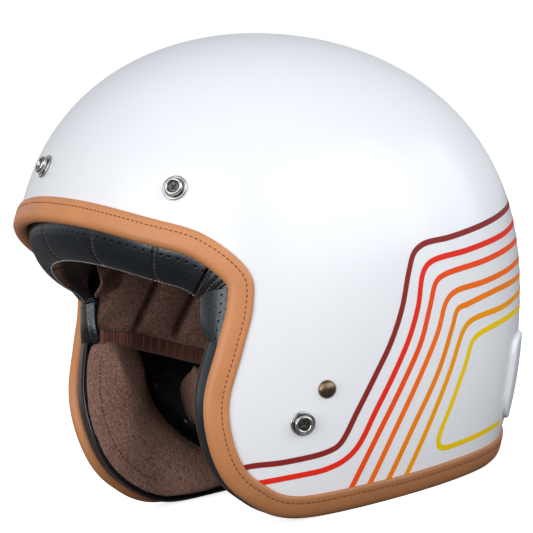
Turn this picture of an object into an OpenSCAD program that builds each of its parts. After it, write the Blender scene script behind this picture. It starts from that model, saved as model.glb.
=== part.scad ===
// Open face motorcycle helmet, worn size M, as an assembly of separate pieces.
// All lengths are in millimetres. The helmet stands on its lower edge: +Z is up, the face
// opening looks along -Y and +X is the wearer's left side.

/* [Shell] */
// Half of the shell's width at ear level
half_width = 126; // [122:1:130]
// Reach of the shell in front of its inner centre
front_reach = 132; // [128:1:136]
// Reach of the shell behind its inner centre
rear_reach = 142.3; // [138:0.1:146]
// Height of the crown above the inner centre
crown_height = 141.3; // [137:0.1:145]
// Depth below the centre at which the full shell form would close
lower_depth = 178.5; // [170:0.5:190]
// Thickness of the composite shell
shell_t = 4; // [3.6:0.1:4.2]
// Backward lean of the helmet when it stands on its lower edge, in degrees
rest_lean = 13.2; // [12:0.1:14.5]

/* [Edge trim] */
// Height of the leather edge trim, from its upper seam line to the shell's own edge
trim_leg = 9; // [8.5:0.1:9.5]
// How far the rounded bead reaches past the shell's edge
bead_reach = 3.9; // [3.5:0.1:4.2]

/* [Liners] */
// Thickness of the polystyrene impact liner
impact_t = 25; // [22:0.5:25.2]
// Thickness of the fleece comfort liner
comfort_t = 8; // [6:0.5:8.2]
// How far the brow roll hangs past the trim
brow_drop = 15; // [12:0.5:16]

/* [Fasteners] */
// Diameter of the snap fastener flange
snap_d = 12.8; // [12:0.1:14]
// Diameter of the snap fastener stud
stud_d = 9.4; // [9:0.1:9.8]
// Height of the stud above its flange
stud_h = 3.1; // [2.8:0.1:3.4]
// Diameter of the chin strap rivet head
rivet_d = 9.4; // [9:0.1:10]

/* [Chin strap] */
// Width of the webbing
web_w = 20; // [18:1:20]
// Thickness of the webbing
web_t = 2; // [1.8:0.1:2.2]
// Half of the span between the two points where the strap leaves the pads
strap_half_span = 68; // [64:1:70]
// Drop of the buckled strap below those points
strap_drop = 72; // [68:1:76]
// Angle of the buckled strap above the horizontal when it is tucked in
tuck_angle = 60; // [56:1:64]

/* [Hidden] */

// Shape of the outer surface: exponents of its plan and of its upper and lower halves,
// and how its half width grows upwards and rearwards
plan_power = 2.1;
upper_power = 2.066;
lower_power = 2.388;
widen_up = 0.025;
widen_back = 0.03;

// Upper seam line of the trim, as azimuth from the front and elevation from the inner
// centre, from the middle of the brow over the temple and the cheek to the nape
seam_line = [
    [0, 20.7], [22, 19], [42, 15], [55, 11.5], [64.8, 4], [66, -4], [63.8, -14],
    [60.7, -26], [62.9, -36], [68.6, -41.4], [80, -44.3], [105, -40.3], [140, -32],
    [180, -25]
];
seam_end = len(seam_line) - 1;

// Lower edge of the impact liner and of the comfort liner, in the same angles
impact_line = [
    [0, 22.4], [22, 20.8], [42, 16.9], [55, 13.6], [67, 6], [76, -4], [90, -9],
    [105, -12], [122, -17], [140, -24], [160, -25], [180, -23]
];
comfort_line = [
    [0, 25], [20, 23.5], [36, 19.5], [46, 14.5], [52, 8], [50, -2], [49, -9], [57, -11.5],
    [70, -13.5], [90, -17], [110, -20], [140, -21], [180, -19]
];

// Places of the fasteners, as azimuth and elevation
brow_snap_centre = [0, 27.9];
brow_snap_side = [47.3, 21.8];
side_snap = [78.7, -29.5];
strap_rivet = [84.2, -22.2];

// Layers under the outer surface, as depths along the radius
post_end = 6.3;
impact_top = 6.8;
impact_base = impact_top + impact_t;
comfort_top = impact_base + 0.8;
comfort_base = comfort_top + comfort_t;
plate_top = 10;
plate_base = 12;
cheek_top = 12.6;
cheek_base = 40;

// Height of the inner centre over the ground, and its place along Y
centre_z = 109.73;
centre_y = -12.36;

// Facets of the round parts
fine = 64;
plain = 40;
coarse = 32;

// Small gaps that glue, thread or fabric takes up
seat_gap = 0.1;
glue_gap = 0.3;

crown_pole = direction(180, 50);
cheek_pole = [86, -46, -80] / norm([86, -46, -80]);

// ---------------------------------------------------------------- geometry of the shell

function unit(v) = v / norm(v);
function blend(a, b, t) = a + (b - a) * t;
function total(v) = len(v) == 0 ? 0 : v * [for (x = v) 1];
function mean(points) = [for (k = [0:2]) total([for (p = points) p[k]]) / len(points)];
function direction(az, el) = [sin(az) * cos(el), -cos(az) * cos(el), sin(el)];
function mirrored(p) = [-p.x, p.y, p.z];

// Radius of the outer surface along a unit vector
function shell_radius(d) =
    let (
        a = half_width * (1 + widen_up * d.z + widen_back * d.y),
        b = blend(front_reach, rear_reach, (1 + d.y) / 2),
        c = blend(lower_depth, crown_height, (1 + d.z) / 2),
        m = blend(lower_power, upper_power, (1 + d.z) / 2),
        plan = pow(pow(abs(d.x / a), plan_power) + pow(abs(d.y / b), plan_power),
            1 / plan_power)
    )
    pow(pow(plan, m) + pow(abs(d.z / c), m), -1 / m);

function on_shell(d, depth = 0) = (shell_radius(d) - depth) * d;
function depth_of(p) = shell_radius(unit(p)) - norm(p);

// Outward normal of the outer surface
function shell_normal(d) =
    let (
        e = 0.002,
        east = unit(cross([0, 0, 1], d)),
        north = cross(d, east),
        a = on_shell(unit(d + e * east)) - on_shell(unit(d - e * east)),
        b = on_shell(unit(d + e * north)) - on_shell(unit(d - e * north))
    )
    unit(cross(a, b));

// Point of a half line at parameter u, as a smooth curve through its points, mirrored at
// both ends
function line_point(line, i) =
    let (last = len(line) - 1)
    i < 0 ? [-line[1].x, line[1].y]
    : i > last ? [360 - line[last - 1].x, line[last - 1].y] : line[i];
function line_at(line, u) =
    let (
        i = min(floor(u), len(line) - 2),
        t = u - i,
        p0 = line_point(line, i - 1),
        p1 = line_point(line, i),
        p2 = line_point(line, i + 1),
        p3 = line_point(line, i + 2)
    )
    (2 * p1 + (p2 - p0) * t + (2 * p0 - 5 * p1 + 4 * p2 - p3) * t * t
        + (3 * p1 - p0 - 3 * p2 + p3) * t * t * t) / 2;

// Unit vector to a point of a line; u is negative on the wearer's right
function line_direction(line, u) =
    let (
        last = len(line) - 1,
        w = u > last ? u - 2 * last : u,
        p = line_at(line, abs(w)),
        d = direction(p.x, p.y)
    )
    w < 0 ? mirrored(d) : d;

// Frame on the seam line: place, outward normal, and the direction across the edge
function seam_frame(u) =
    let (
        e = 0.01,
        d = line_direction(seam_line, u),
        before = on_shell(line_direction(seam_line, u - e)),
        after = on_shell(line_direction(seam_line, u + e)),
        n = shell_normal(d)
    )
    [on_shell(d), n, unit(cross(after - before, n))];
// Point at height n over the surface and o past the seam line
function off_seam(f, n, o) = f[0] + n * f[1] + o * f[2];
function seam_ring(u, section) =
    let (f = seam_frame(u))
    [for (q = section) off_seam(f, q.x, q.y)];

function arc_between(a, b, s) =
    let (w = acos(min(1, a * b)))
    (sin((1 - s) * w) * a + sin(s * w) * b) / sin(w);

// ------------------------------------------------------------------- solids from points

// Polyhedron whose faces are turned outwards whichever way round they were listed
module solid(points, faces) {
    volume = total([for (f = faces) cross(points[f[0]], points[f[1]]) * points[f[2]]]);
    polyhedron(points, volume > 0 ? [for (f = faces) [f[2], f[1], f[0]]] : faces);
}

function strip(a, b, n, closed = true) = [
    for (j = [0:closed ? n - 1 : n - 2])
        let (k = (j + 1) % n)
        each [[a + j, a + k, b + k], [a + j, b + k, b + j]]
];
function fan(apex, a, n) = [for (j = [0:n - 1]) [apex, a + j, a + (j + 1) % n]];
function flipped(faces) = [for (f = faces) [f[2], f[1], f[0]]];

// Solid swept through a list of equal rings; its ends are closed to a centre point
module skin(rings, loop = false, cap = undef) {
    n = len(rings);
    m = len(rings[0]);
    body = [for (r = rings) each r];
    first = cap == undef ? mean(rings[0]) : cap[0];
    last = cap == undef ? mean(rings[n - 1]) : cap[1];
    sides = [for (i = [0:loop ? n - 1 : n - 2]) each strip(i * m, ((i + 1) % n) * m, m)];
    ends = loop ? [] : concat(flipped(fan(n * m, 0, m)), fan(n * m + 1, (n - 1) * m, m));
    solid(loop ? body : concat(body, [first, last]), concat(sides, ends));
}

// Sheet of points from a middle direction to a rim: the depth under the outer surface
// runs from the middle's to the rim's
function sheet(pole, rim, rings, depth, power) = concat(
    [on_shell(pole, depth)],
    [for (k = [1:rings], p = rim)
        let (s = k / rings, d = arc_between(pole, unit(p), s))
        on_shell(d, blend(depth, depth_of(p), pow(s, power)))]
);
function sheet_faces(start, n, rings) = concat(
    flipped(fan(start, start + 1, n)),
    [for (k = [0:rings - 2]) each strip(start + 1 + k * n, start + 1 + (k + 1) * n, n)]
);
// Solid between two such sheets
module pad(pole, outer_rim, inner_rim, rings, outer_depth, inner_depth, power = 1) {
    n = len(outer_rim);
    half = 1 + rings * n;
    points = concat(
        sheet(pole, outer_rim, rings, outer_depth, 1),
        sheet(pole, inner_rim, rings, inner_depth, power)
    );
    faces = concat(
        sheet_faces(0, n, rings),
        flipped(sheet_faces(half, n, rings)),
        strip(half - n, 2 * half - n, n)
    );
    solid(points, faces);
}

// Closed smooth curve through points given by hand
function closed_curve(points, per) =
    let (n = len(points))
    [for (i = [0:n - 1], k = [0:per - 1])
        let (
            t = k / per,
            p0 = points[(i + n - 1) % n],
            p1 = points[i],
            p2 = points[(i + 1) % n],
            p3 = points[(i + 2) % n]
        )
        (2 * p1 + (p2 - p0) * t + (2 * p0 - 5 * p1 + 4 * p2 - p3) * t * t
            + (3 * p1 - p0 - 3 * p2 + p3) * t * t * t) / 2];

// Rim of a liner along its own line
function line_rim(line, per, depth) =
    let (last = len(line) - 1)
    [for (i = [0:2 * last * per - 1])
        on_shell(line_direction(line, i / per > last ? i / per - 2 * last : i / per), depth)];

// Puts the helmet's own centre frame onto the ground frame
module stand() {
    translate([0, centre_y, centre_z]) rotate([-rest_lean, 0, 0]) children();
}
module left_or_right(side) {
    if (side > 0) {
        children();
    } else {
        mirror([1, 0, 0]) children();
    }
}
// Stands children on the outer surface with +Z along its outward normal
module on_surface(place) {
    d = direction(place.x, place.y);
    n = shell_normal(d);
    translate(on_shell(d)) rotate([0, acos(n.z), atan2(n.y, n.x)]) children();
}
module at_each_snap() {
    on_surface(brow_snap_centre) children();
    for (place = [brow_snap_side, side_snap], side = [1, -1]) {
        left_or_right(side) on_surface(place) children();
    }
}
module at_each_rivet() {
    for (side = [1, -1]) {
        left_or_right(side) on_surface(strap_rivet) children();
    }
}
module washer(r_in, r_out, low, high) {
    translate([0, 0, low]) difference() {
        cylinder(h = high - low, r = r_out, $fn = fine);
        translate([0, 0, -1]) cylinder(h = high - low + 2, r = r_in, $fn = fine);
    }
}

// ------------------------------------------------------------------------------ shell

post_r = 2;
shank_r = 2.5;
rivet_r = rivet_d / 2;
snap_r = snap_d / 2;
stud_r = stud_d / 2;
hole_reach = 20;

module shell_body() {
    per = 4;
    frames = [for (i = [0:2 * seam_end * per - 1])
        let (u = i / per)
        seam_frame(u > seam_end ? u - 2 * seam_end : u)];
    outer = [for (f = frames) on_shell(unit(off_seam(f, 0, trim_leg)))];
    inner = [for (f = frames) off_seam(f, -shell_t, trim_leg - glue_gap)];
    pad(crown_pole, outer, inner, 13, 0, shell_t);
}
module hole(r) {
    translate([0, 0, -hole_reach / 2]) cylinder(h = hole_reach, r = r, $fn = coarse);
}
module outer_shell() {
    color("white") stand() difference() {
        shell_body();
        at_each_snap() hole(post_r + glue_gap);
        at_each_rivet() hole(shank_r + glue_gap);
    }
}

// Raised panel over the nape: half width and heights as angles round its middle
panel_width = 34;
panel_middle = -15;
panel_rise = 9;
panel_fall = 8;
panel_corner = 5.5;
panel_power = 0.45;
panel_t = 2.1;
panel_seat = 1.05;
module rear_panel() {
    count = 48;
    rim = [for (i = [0:count - 1])
        let (
            q = 360 * i / count,
            side = sign(cos(q)) * pow(abs(cos(q)), panel_power),
            up = sign(sin(q)) * pow(abs(sin(q)), panel_power),
            fall = panel_fall + panel_corner * side * side
        )
        direction(180 + panel_width * side, panel_middle + (up > 0 ? panel_rise : fall) * up)];
    color("white") stand() pad(direction(180, panel_middle),
        [for (d = rim) on_shell(d, -panel_seat - 0.25)], [for (d = rim) on_shell(d, -panel_seat)],
        8, -panel_t, -panel_seat);
}

// ---------------------------------------------------------------------------- edge trim

trim_section = [
    [0.5, 0], [1.3, 0.2], [1.9, 2], [2.2, 6], [2.2, trim_leg], [1.2, trim_leg + 2.7],
    [-2, trim_leg + bead_reach], [-5.2, trim_leg + 2.7], [-6.2, trim_leg], [-6.2, 2],
    [-5.8, -1], [-4.9, -1.2], [-4.9, trim_leg + 0.15], [0.5, trim_leg + 0.15]
];
module edge_trim() {
    per = 4;
    rings = [for (i = [0:2 * seam_end * per - 1])
        let (u = i / per)
        seam_ring(u > seam_end ? u - 2 * seam_end : u, trim_section)];
    color("peru") difference() {
        stand() skin(rings, loop = true);
        translate([-200, -200, -20]) cube([400, 400, 20]);
    }
}

// --------------------------------------------------------------------------- fasteners

flange_floor = 0.8;
flange_rim = 1.1;
foot_r = 3.2;
foot_t = 0.7;
head_r = 2.7;
head_t = 0.8;
slot_w = 0.6;
washer_r = 5;
washer_t = 0.7;

module snap_flanges() {
    color("silver") stand() at_each_snap() rotate_extrude($fn = fine) polygon([
        [post_r + seat_gap, seat_gap], [snap_r - 0.4, seat_gap], [snap_r, 0.4], [snap_r, 0.7],
        [snap_r - 0.5, flange_rim], [snap_r - 1.2, flange_rim - 0.15],
        [snap_r - 2, flange_floor], [post_r + seat_gap, flange_floor]
    ]);
}
module snap_studs() {
    base = flange_floor + 0.05;
    top = flange_floor + seat_gap + stud_h;
    color("silver") stand() at_each_snap() rotate_extrude($fn = fine) polygon([
        [post_r + seat_gap, base], [stud_r - 0.5, base], [stud_r, 1.3], [stud_r, top - 0.8],
        [stud_r - 0.3, top - 0.2], [stud_r - 0.9, top], [stud_r - 1.5, top - 0.2],
        [stud_r - 1.8, top - 1.5], [post_r + seat_gap, top - 1.5]
    ]);
}
// Rivet through the stud: a foot inside the shell and a crossed head in the stud's cup
module snap_posts() {
    head = flange_floor + seat_gap + stud_h - 1.4;
    color("silver") stand() at_each_snap() union() {
        translate([0, 0, -post_end + seat_gap])
            cylinder(h = post_end + head, r = post_r, $fn = fine);
        translate([0, 0, -post_end]) cylinder(h = foot_t, r = foot_r, $fn = fine);
        difference() {
            translate([0, 0, head]) cylinder(h = head_t, r = head_r, $fn = fine);
            for (turn = [0, 90]) {
                rotate(turn) translate([-head_r - 0.3, -slot_w / 2, head + head_t / 2])
                    cube([2 * head_r + slot_w, slot_w, head_t]);
            }
        }
    }
}
module snap_washers() {
    low = -post_end + foot_t + 0.05;
    color("silver") stand() at_each_snap()
        washer(post_r + seat_gap, washer_r, low, low + washer_t);
}

rivet_dome = 2.4;
rivet_length = 10.4;
module strap_rivets() {
    sphere_r = (rivet_r * rivet_r + rivet_dome * rivet_dome) / (2 * rivet_dome);
    color("#7a6a52") stand() at_each_rivet() union() {
        translate([0, 0, 2 * seat_gap]) intersection() {
            translate([0, 0, rivet_dome - sphere_r]) sphere(r = sphere_r, $fn = fine);
            cylinder(h = rivet_dome + 1, r = rivet_r, $fn = fine);
        }
        translate([0, 0, -rivet_length + foot_t / 2])
            cylinder(h = rivet_length + foot_t / 2, r = shank_r, $fn = fine);
        translate([0, 0, -rivet_length]) cylinder(h = foot_t, r = rivet_r - foot_t, $fn = fine);
    }
}
module rivet_washers() {
    low = -post_end + foot_t - seat_gap;
    color("silver") stand() at_each_rivet()
        washer(shank_r + seat_gap, washer_r + 0.5, low, low + washer_t + seat_gap);
}

// ------------------------------------------------------------------------------ liners

module impact_liner() {
    per = 4;
    color("#303030") stand() pad(crown_pole, line_rim(impact_line, per, impact_top),
        line_rim(impact_line, per, impact_base), 10, impact_top, impact_base);
}
module crown_liner() {
    per = 4;
    color("#4a342a") stand() pad(crown_pole, line_rim(comfort_line, per, comfort_top),
        line_rim(comfort_line, per, comfort_base - 2), 10, comfort_top, comfort_base, 8);
}
hem_drop = 5;
// Satin band under the comfort liner, from temple to temple round the back
module liner_hem() {
    start = 6.4;
    last = len(comfort_line) - 1;
    count = 56;
    rings = [for (i = [0:count])
        let (
            u = start + (2 * (last - start)) * i / count,
            p = line_at(comfort_line, u > last ? 2 * last - u : u),
            az = u > last ? 360 - p.x : p.x,
            low = direction(az, p.y - hem_drop),
            high = direction(az, p.y - 0.6)
        )
        [on_shell(high, comfort_top + 0.4), on_shell(high, comfort_base - 2),
            on_shell(low, comfort_base - 2.4), on_shell(low, comfort_top + 0.8)]];
    color("#5b2a22") stand() skin(rings);
}

// Roll along the edge: it starts behind the trim, drops past it and turns inwards
function roll_section(drop, depth) = [
    [-6.9, 1], [-6.9, 12.4], [-10, 12.9 + drop * 0.36], [-14.5, 12.9 + drop * 0.72],
    [-19, 12.9 + drop * 0.94], [-23, 12.9 + drop], [-28, 12.9 + drop * 0.88],
    [-depth + 3, 12.9 + drop * 0.45], [-depth, 11], [-depth, 4], [-depth + 3, 1.5],
    [-20, 0]
];
module edge_roll(from, to, drop, depth) {
    count = round((to - from) * 6);
    rings = [for (i = [0:count])
        let (t = i / count, u = blend(from, to, t))
        seam_ring(u, roll_section(blend(drop[0], drop[1], t), depth))];
    skin(rings);
}
module brow_pad() {
    half = 3.3;
    count = 32;
    rings = [for (i = [0:count])
        let (u = blend(-half, half, i / count), depth = min(37, 37 - 6 * (abs(u) - 1.8)))
        seam_ring(u, roll_section(brow_drop, depth))];
    color("#20242a") stand() skin(rings);
}
// Half space ahead of or behind the plane across the seam line at u
tab_joint = 3.92;
module side_of_joint(ahead) {
    f = seam_frame(tab_joint);
    t = cross(f[1], f[2]);
    multmatrix([
        [t.x, f[1].x, f[2].x, f[0].x], [t.y, f[1].y, f[2].y, f[0].y],
        [t.z, f[1].z, f[2].z, f[0].z]
    ]) translate([ahead ? 0.3 : -100.3, -60, -60]) cube([100, 120, 120]);
}
module corner_tab(side) {
    color("#20242a") stand() left_or_right(side) intersection() {
        edge_roll(3.34, tab_joint + 0.06, [14.6, 13], 28);
        side_of_joint(false);
    }
}
module temple_pad(side) {
    color("#20242a") stand() left_or_right(side) intersection() {
        edge_roll(tab_joint - 0.06, 5.74, [12.5, 6], 28);
        side_of_joint(true);
    }
}

// -------------------------------------------------------------------------- cheek pads

border_from = 5.8;
border_to = 10.2;
border_section = [
    [-6.9, 3], [-6.9, 12.4], [-9.5, 14.4], [-13, 16.2], [-16.6, 17.2], [-17.2, 16.4],
    [-15.6, 12], [-12.4, 3]
];
module cheek_border(side) {
    count = 34;
    rings = [for (i = [0:count])
        seam_ring(blend(border_from, border_to, i / count), border_section)];
    color("#20242a") stand() left_or_right(side) skin(rings);
}

// Free edge of the cheek pad behind the chin: under the ear, round the ear pocket and
// under the hem, as places on the inner and on the outer side of the pad
pad_free_inner = [
    [72, 2, -108], [75, 16, -104], [78, 22, -97], [80, 12, -91], [81, -4, -84],
    [80, -18, -75], [79, -29, -66], [80, -33, -52], [81, -33, -38], [78, -41, -33],
    [70, -54, -31]
];
pad_free_outer = [
    [94, 2, -99], [95, 14, -96], [97, 20, -91], [99, 12, -85], [101, -4, -78],
    [102, -16, -70], [103, -24, -62], [104, -28, -52], [105, -30, -40], [106, -36, -32],
    [104, -46, -30]
];
pad_front = [6.1, 7, 7.7, 8.3, 8.9, 9.4, 9.9];
function pad_rim(n, o, free) = closed_curve(concat(
    [for (u = pad_front) off_seam(seam_frame(u), n, o)], free), 2);
module cheek_pad(side) {
    color("#4a342a") stand() left_or_right(side) pad(cheek_pole,
        pad_rim(-14.6, 2, pad_free_outer), pad_rim(-18.4, 16.6, pad_free_inner),
        6, cheek_top, cheek_base, 3.5);
}
// The backing plate covers this share of the pad's reach
plate_share = 0.64;
function shrunk(p, k, depth) = on_shell(arc_between(cheek_pole, unit(p), k), depth);
module cheek_plate(side) {
    rim = pad_rim(-14.6, 2, pad_free_outer);
    color("#202020") stand() left_or_right(side) pad(cheek_pole,
        [for (p = rim) shrunk(p, plate_share, plate_top)],
        [for (p = rim) shrunk(p, plate_share, plate_base)], 4, plate_top, plate_base);
}
pad_stud_places = [[68, -22], [67, -32], [80, -39]];
pad_stud_base = 9.2;
module pad_studs() {
    color("#303030") stand() for (place = pad_stud_places, side = [1, -1]) {
        left_or_right(side) on_surface(place) union() {
            translate([0, 0, -pad_stud_base]) cylinder(h = 4.4, r = 3, $fn = coarse);
            translate([0, 0, -pad_stud_base]) cylinder(h = 0.8, r = 5, $fn = coarse);
        }
    }
}

// ---------------------------------------------------------------------------- neck pad

neck_from = 10.6;
neck_rise = -30;
neck_slope = 62;
function neck_low(u) = min(9, neck_rise + (u - neck_from) * neck_slope);
// The pad's upper edge lies under the hem, its lower edge along the seam line
function neck_section(u) =
    let (
        f = seam_frame(u),
        az = atan2(f[0].x, -f[0].y),
        flank = abs(az),
        top = lookup(flank, comfort_line) - hem_drop - 2,
        rear = max(0, min(1, (abs(u) - 11.2) / 0.8)),
        out = blend(-15, -7.4, rear),
        low = neck_low(abs(u)),
        under = min(lookup(flank, impact_line) - 2.5, top - 1.5)
    )
    [
        on_shell(direction(az, top), 38.5), on_shell(direction(az, top - 0.3), 33.8),
        on_shell(direction(az, under), -out), off_seam(f, out, low - 4),
        off_seam(f, blend(-18, -12, rear), low), off_seam(f, -28, low + 1),
        off_seam(f, -36, low - 3), off_seam(f, -39, low - 9)
    ];
function both_halves(from, per) =
    [for (i = [0:2 * per])
        let (t = i / per)
        t <= 1 ? blend(from, seam_end, t) : -blend(seam_end, from, t - 1)];
module neck_pad() {
    us = both_halves(neck_from, 15);
    color("#4a342a") stand() difference() {
        skin([for (u = us) neck_section(u)]);
        for (side = [1, -1]) {
            left_or_right(side) strap_solid(web_edge + 0.8, web_t / 2 + 0.7);
        }
    }
}
module neck_roll() {
    us = both_halves(neck_from, 15);
    rings = [for (u = us)
        let (low = neck_low(abs(u)))
        seam_ring(u, [for (a = [0:45:315]) [-25 + 6.5 * cos(a), low + 4.6 + 3 * sin(a)]])];
    color("#20242a") stand() skin(rings);
}

// -------------------------------------------------------------------------- retention

web_edge = web_w / 2;

// Webbing from the rivet, behind the pads and out through a slot in the neck pad: first
// as azimuth, elevation and depth, then as place along and depths off the seam line
strap_start = [[84.2, -22.2, 7.9], [88.5, -25, 7.9], [94, -28.5, 8], [99.5, -31.8, 8.6]];
strap_exit = [[11.02, -14, -27], [11.12, -21, -24], [11.17, -30, -22], [11.18, -46.5, -20]];
module strap_solid(half, thick) {
    mids = concat(
        [for (q = strap_start) on_shell(direction(q.x, q.y), q.z)],
        [for (q = strap_exit) off_seam(seam_frame(q.x), q.y, q.z)]
    );
    last = len(mids) - 1;
    rings = [for (i = [0:last])
        let (
            run = unit(mids[min(i + 1, last)] - mids[max(i - 1, 0)]),
            out = unit(mids[i] - (mids[i] * run) * run),
            across = cross(run, out),
            a = across * half,
            b = out * thick
        )
        [mids[i] + a + b, mids[i] - a + b, mids[i] - a - b, mids[i] + a - b]];
    skin(rings);
}
module anchor_strap(side) {
    color("#15171a") stand() left_or_right(side) difference() {
        strap_solid(web_edge, web_t / 2);
        on_surface(strap_rivet) translate([0, 0, -hole_reach / 4]) hole(shank_r + 2 * seat_gap);
    }
}

// The buckled strap lies in its own plane: X across, Y away from its hinge line
hinge_y = 30;
hinge_z = -62;
swing_power = 2.35;
module strap_frame() {
    stand() translate([0, hinge_y, hinge_z]) rotate([tuck_angle, 0, 0]) children();
}
function strap_curve(t, grow) = [
    sign(cos(t)) * (strap_half_span + grow) * pow(abs(cos(t)), 2 / swing_power),
    (strap_drop + grow) * pow(sin(t), 2 / swing_power)
];
// Angle on the curve at which it is x from the middle
function curve_angle(x) = acos(pow(x / strap_half_span, swing_power / 2));
module strap_band(from, to) {
    steps = 24;
    outline = concat(
        [for (i = [0:steps]) strap_curve(blend(from, to, i / steps), web_t / 2)],
        [for (i = [steps:-1:0]) strap_curve(blend(from, to, i / steps), -web_t / 2)]
    );
    translate([0, 0, -web_edge]) linear_extrude(web_w) polygon(outline);
}

// Bars that the webbing turns round, the lever's pin, and the walls of the buckle
bar_r = 1.8;
bar_x = 19;
bar_y = strap_curve(curve_angle(bar_x), 0).y;
tongue_bar_x = -24;
tongue_y = strap_curve(curve_angle(-tongue_bar_x), 0).y;
loop_r = bar_r + 0.15;
pin_x = 10;
pin_y = bar_y + 5;
pin_r = 1.25;
pin_head_r = 2;
pin_head_t = 0.8;
frame_wall = 1.6;
frame_end = -14;
side_gap = 0.6;

// Round bar or hole across the strap at a place in its plane
module across_strap(x, y, r, half) {
    translate([x, y, -half]) cylinder(h = 2 * half, r = r, $fn = plain);
}
module looped_band(x, y, from, to) {
    difference() {
        union() {
            strap_band(from, to);
            across_strap(x, y, loop_r + 0.8 * web_t, web_edge);
        }
        across_strap(x, y, loop_r, web_w);
    }
}
module chin_strap_left() {
    color("#15171a") strap_frame() looped_band(bar_x, bar_y, 0, curve_angle(bar_x + 1));
}
module chin_strap_right() {
    color("#15171a") strap_frame()
        looped_band(tongue_bar_x, tongue_y, 180 - curve_angle(1 - tongue_bar_x), 180);
}
module buckle_frame() {
    inside = web_edge + side_gap;
    floor_y = bar_y - 3.4;
    floor_t = 1.4;
    color("silver") strap_frame() difference() {
        union() {
            translate([frame_end, floor_y, -inside - frame_wall])
                cube([bar_x - 6 - frame_end, floor_t, 2 * (inside + frame_wall)]);
            for (z = [-inside - frame_wall, inside]) {
                translate([frame_end, floor_y, z])
                    cube([bar_x + 3 - frame_end, pin_y + 2.6 - floor_y, frame_wall]);
            }
            across_strap(bar_x, bar_y, bar_r, inside + 0.2);
        }
        across_strap(pin_x, pin_y, pin_r + 0.05, 2 * web_w);
    }
}

tooth_pitch = 3;
tooth_w = 2.4;
tooth_h = 1;
module buckle_tongue() {
    teeth = 5;
    blade_half = web_edge - 2;
    blade_y = bar_y - 1.5;
    blade_t = 1.3;
    arm_t = 1.5;
    neck_x = tongue_bar_x + 4.5;
    color("silver") strap_frame() union() {
        across_strap(tongue_bar_x, tongue_y, bar_r, web_edge + arm_t);
        for (z = [-web_edge - arm_t - 1, web_edge + 1]) {
            translate([tongue_bar_x - bar_r, tongue_y - arm_t, z]) cube([8.8, 2 * arm_t, arm_t]);
        }
        translate([neck_x, blade_y, -web_edge - arm_t - 1])
            cube([2.5, 2.2, 2 * (web_edge + arm_t + 1)]);
        translate([neck_x + 0.5, blade_y, -blade_half]) cube([28, blade_t, 2 * blade_half]);
        for (i = [0:teeth - 1]) {
            translate([i * tooth_pitch - 12, blade_y + blade_t - 0.1, 2 - blade_half])
                linear_extrude(2 * blade_half - 4)
                    polygon([[0, 0], [tooth_w, 0], [tooth_w, tooth_h]]);
        }
    }
}
module lever_pin() {
    half = web_edge + side_gap + frame_wall + 0.4;
    color("silver") strap_frame() union() {
        across_strap(pin_x, pin_y, pin_r, half);
        for (z = [-half - pin_head_t / 2, half - pin_head_t / 2]) {
            translate([pin_x, pin_y, z]) cylinder(h = pin_head_t, r = pin_head_r, $fn = plain);
        }
    }
}
coil_pitch = 1.2;
module lever_spring() {
    color("gray") strap_frame() for (i = [-2:2]) {
        translate([pin_x, pin_y, i * coil_pitch])
            rotate_extrude($fn = plain) translate([2, 0]) circle(r = 0.5, $fn = 16);
    }
}

// Lever over the buckle's walls, with a window for the finger and room for its spring
module buckle_lever() {
    reach = 30;
    plate = 2.2;
    half = web_edge - 0.4;
    spring_room = 3.2;
    color("#b02a20") strap_frame() difference() {
        union() {
            across_strap(pin_x, pin_y, 2.4, half);
            translate([pin_x - reach, pin_y + 0.2, -half]) cube([reach, plate, 2 * half]);
            translate([pin_x - reach, pin_y - 1.4, -half]) cube([2, 3, 2 * half]);
        }
        across_strap(pin_x, pin_y, pin_r + 0.1, 2 * web_w);
        translate([pin_x - spring_room, pin_y - 3, -spring_room])
            cube([2 * spring_room, 6, 2 * spring_room]);
        translate([pin_x - reach + 8, pin_y, -5]) cube([9, 4, 10]);
    }
}

// ------------------------------------------------------------------------------- nodes

outer_shell();
rear_panel();
edge_trim();
snap_flanges();
snap_studs();
snap_posts();
snap_washers();
strap_rivets();
rivet_washers();
impact_liner();
crown_liner();
liner_hem();
brow_pad();
corner_tab(1);  // corner_tab_left
corner_tab(-1);  // corner_tab_right
temple_pad(1);  // temple_pad_left
temple_pad(-1);  // temple_pad_right
cheek_pad(1);  // cheek_pad_left
cheek_pad(-1);  // cheek_pad_right
cheek_border(1);  // cheek_border_left
cheek_border(-1);  // cheek_border_right
cheek_plate(1);  // cheek_plate_left
cheek_plate(-1);  // cheek_plate_right
pad_studs();
neck_pad();
neck_roll();
anchor_strap(1);  // anchor_strap_left
anchor_strap(-1);  // anchor_strap_right
chin_strap_left();
chin_strap_right();
buckle_frame();
buckle_tongue();
lever_pin();
lever_spring();
buckle_lever();
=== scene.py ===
"""Looks of the open face helmet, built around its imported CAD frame."""

import math

import bpy
import numpy as np
from mathutils import Matrix, Vector
from mathutils.bvhtree import BVHTree


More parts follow.
